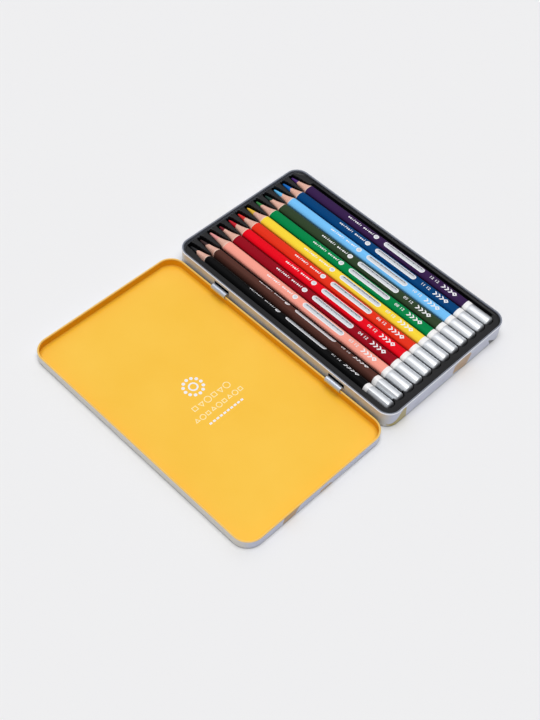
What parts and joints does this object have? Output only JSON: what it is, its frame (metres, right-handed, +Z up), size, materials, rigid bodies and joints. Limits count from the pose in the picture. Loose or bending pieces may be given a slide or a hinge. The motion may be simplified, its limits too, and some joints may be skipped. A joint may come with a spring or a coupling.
{
  "type": "colored pencil tin",
  "caption": "Flat hinged pencil tin lying open, with a formed tray and a row of three-sided colour pencils that lift out.",
  "frame": {"origin": "middle of the base's flat underside", "axes": "+X towards the pencil points, +Y towards the hinges and the open lid, +Z up"},
  "size_m": [0.1932, 0.2369, 0.0139],
  "materials": {
    "tin_print": "white printed tinplate, satin varnish, with coloured shapes",
    "lid_enamel": "yellow enamelled tinplate inside, white print outside",
    "tray_plastic": "vacuum-formed black sheet, satin",
    "hinge_steel": "bright bare tinplate",
    "band_white": "white lacquer band, glossy",
    "dip_silver": "silver dip lacquer, satin metallic",
    "lacquer_black": "black gloss lacquer over wood, bare wood at the sharpened cone",
    "lead_black": "black colour lead, waxy",
    "lacquer_brown": "brown gloss lacquer over wood, bare wood at the sharpened cone",
    "lead_brown": "brown colour lead, waxy",
    "lacquer_pink": "pink gloss lacquer over wood, bare wood at the sharpened cone",
    "lead_pink": "pink colour lead, waxy",
    "lacquer_dark_red": "dark red gloss lacquer over wood, bare wood at the sharpened cone",
    "lead_dark_red": "dark red colour lead, waxy",
    "lacquer_red": "red gloss lacquer over wood, bare wood at the sharpened cone",
    "lead_red": "red colour lead, waxy",
    "lacquer_orange": "orange gloss lacquer over wood, bare wood at the sharpened cone",
    "lead_orange": "orange colour lead, waxy",
    "lacquer_yellow": "yellow gloss lacquer over wood, bare wood at the sharpened cone",
    "lead_yellow": "yellow colour lead, waxy",
    "lacquer_green": "green gloss lacquer over wood, bare wood at the sharpened cone",
    "lead_green": "green colour lead, waxy",
    "lacquer_dark_green": "dark green gloss lacquer over wood, bare wood at the sharpened cone",
    "lead_dark_green": "dark green colour lead, waxy",
    "lacquer_light_blue": "light blue gloss lacquer over wood, bare wood at the sharpened cone",
    "lead_light_blue": "light blue colour lead, waxy",
    "lacquer_blue": "blue gloss lacquer over wood, bare wood at the sharpened cone",
    "lead_blue": "blue colour lead, waxy",
    "lacquer_purple": "purple gloss lacquer over wood, bare wood at the sharpened cone",
    "lead_purple": "purple colour lead, waxy"
  },
  "bodies": {
    "base": {"base_shell": "tin_print", "hinge_clip_left": "hinge_steel", "hinge_clip_right": "hinge_steel"},
    "lid": {"lid_shell": "lid_enamel"},
    "tray": {"pencil_tray": "tray_plastic"},
    "black_pencil": {"black_pencil_casing": "lacquer_black", "black_pencil_lead": "lead_black", "black_pencil_band": "band_white", "black_pencil_dip": "dip_silver"},
    "brown_pencil": {"brown_pencil_casing": "lacquer_brown", "brown_pencil_lead": "lead_brown", "brown_pencil_band": "band_white", "brown_pencil_dip": "dip_silver"},
    "pink_pencil": {"pink_pencil_casing": "lacquer_pink", "pink_pencil_lead": "lead_pink", "pink_pencil_band": "band_white", "pink_pencil_dip": "dip_silver"},
    "dark_red_pencil": {"dark_red_pencil_casing": "lacquer_dark_red", "dark_red_pencil_lead": "lead_dark_red", "dark_red_pencil_band": "band_white", "dark_red_pencil_dip": "dip_silver"},
    "red_pencil": {"red_pencil_casing": "lacquer_red", "red_pencil_lead": "lead_red", "red_pencil_band": "band_white", "red_pencil_dip": "dip_silver"},
    "orange_pencil": {"orange_pencil_casing": "lacquer_orange", "orange_pencil_lead": "lead_orange", "orange_pencil_band": "band_white", "orange_pencil_dip": "dip_silver"},
    "yellow_pencil": {"yellow_pencil_casing": "lacquer_yellow", "yellow_pencil_lead": "lead_yellow", "yellow_pencil_band": "band_white", "yellow_pencil_dip": "dip_silver"},
    "green_pencil": {"green_pencil_casing": "lacquer_green", "green_pencil_lead": "lead_green", "green_pencil_band": "band_white", "green_pencil_dip": "dip_silver"},
    "dark_green_pencil": {"dark_green_pencil_casing": "lacquer_dark_green", "dark_green_pencil_lead": "lead_dark_green", "dark_green_pencil_band": "band_white", "dark_green_pencil_dip": "dip_silver"},
    "light_blue_pencil": {"light_blue_pencil_casing": "lacquer_light_blue", "light_blue_pencil_lead": "lead_light_blue", "light_blue_pencil_band": "band_white", "light_blue_pencil_dip": "dip_silver"},
    "blue_pencil": {"blue_pencil_casing": "lacquer_blue", "blue_pencil_lead": "lead_blue", "blue_pencil_band": "band_white", "blue_pencil_dip": "dip_silver"},
    "purple_pencil": {"purple_pencil_casing": "lacquer_purple", "purple_pencil_lead": "lead_purple", "purple_pencil_band": "band_white", "purple_pencil_dip": "dip_silver"}
  },
  "joints": [
    {"name": "lid_hinge", "type": "hinge", "parent": "base", "child": "lid", "pos_m": [0, 0.05955, 0.0073], "axis": [-1, 0, 0], "range_deg": [-180, 0]},
    {"name": "tray_lift", "type": "slide", "parent": "base", "child": "tray", "axis": [0, 0, 1], "range_m": [0, 0.03]},
    {"name": "black_pencil_lift", "type": "slide", "parent": "tray", "child": "black_pencil", "axis": [0, 0, 1], "range_m": [0, 0.04]},
    {"name": "brown_pencil_lift", "type": "slide", "parent": "tray", "child": "brown_pencil", "axis": [0, 0, 1], "range_m": [0, 0.04]},
    {"name": "pink_pencil_lift", "type": "slide", "parent": "tray", "child": "pink_pencil", "axis": [0, 0, 1], "range_m": [0, 0.04]},
    {"name": "dark_red_pencil_lift", "type": "slide", "parent": "tray", "child": "dark_red_pencil", "axis": [0, 0, 1], "range_m": [0, 0.04]},
    {"name": "red_pencil_lift", "type": "slide", "parent": "tray", "child": "red_pencil", "axis": [0, 0, 1], "range_m": [0, 0.04]},
    {"name": "orange_pencil_lift", "type": "slide", "parent": "tray", "child": "orange_pencil", "axis": [0, 0, 1], "range_m": [0, 0.04]},
    {"name": "yellow_pencil_lift", "type": "slide", "parent": "tray", "child": "yellow_pencil", "axis": [0, 0, 1], "range_m": [0, 0.04]},
    {"name": "green_pencil_lift", "type": "slide", "parent": "tray", "child": "green_pencil", "axis": [0, 0, 1], "range_m": [0, 0.04]},
    {"name": "dark_green_pencil_lift", "type": "slide", "parent": "tray", "child": "dark_green_pencil", "axis": [0, 0, 1], "range_m": [0, 0.04]},
    {"name": "light_blue_pencil_lift", "type": "slide", "parent": "tray", "child": "light_blue_pencil", "axis": [0, 0, 1], "range_m": [0, 0.04]},
    {"name": "blue_pencil_lift", "type": "slide", "parent": "tray", "child": "blue_pencil", "axis": [0, 0, 1], "range_m": [0, 0.04]},
    {"name": "purple_pencil_lift", "type": "slide", "parent": "tray", "child": "purple_pencil", "axis": [0, 0, 1], "range_m": [0, 0.04]}
  ]
}
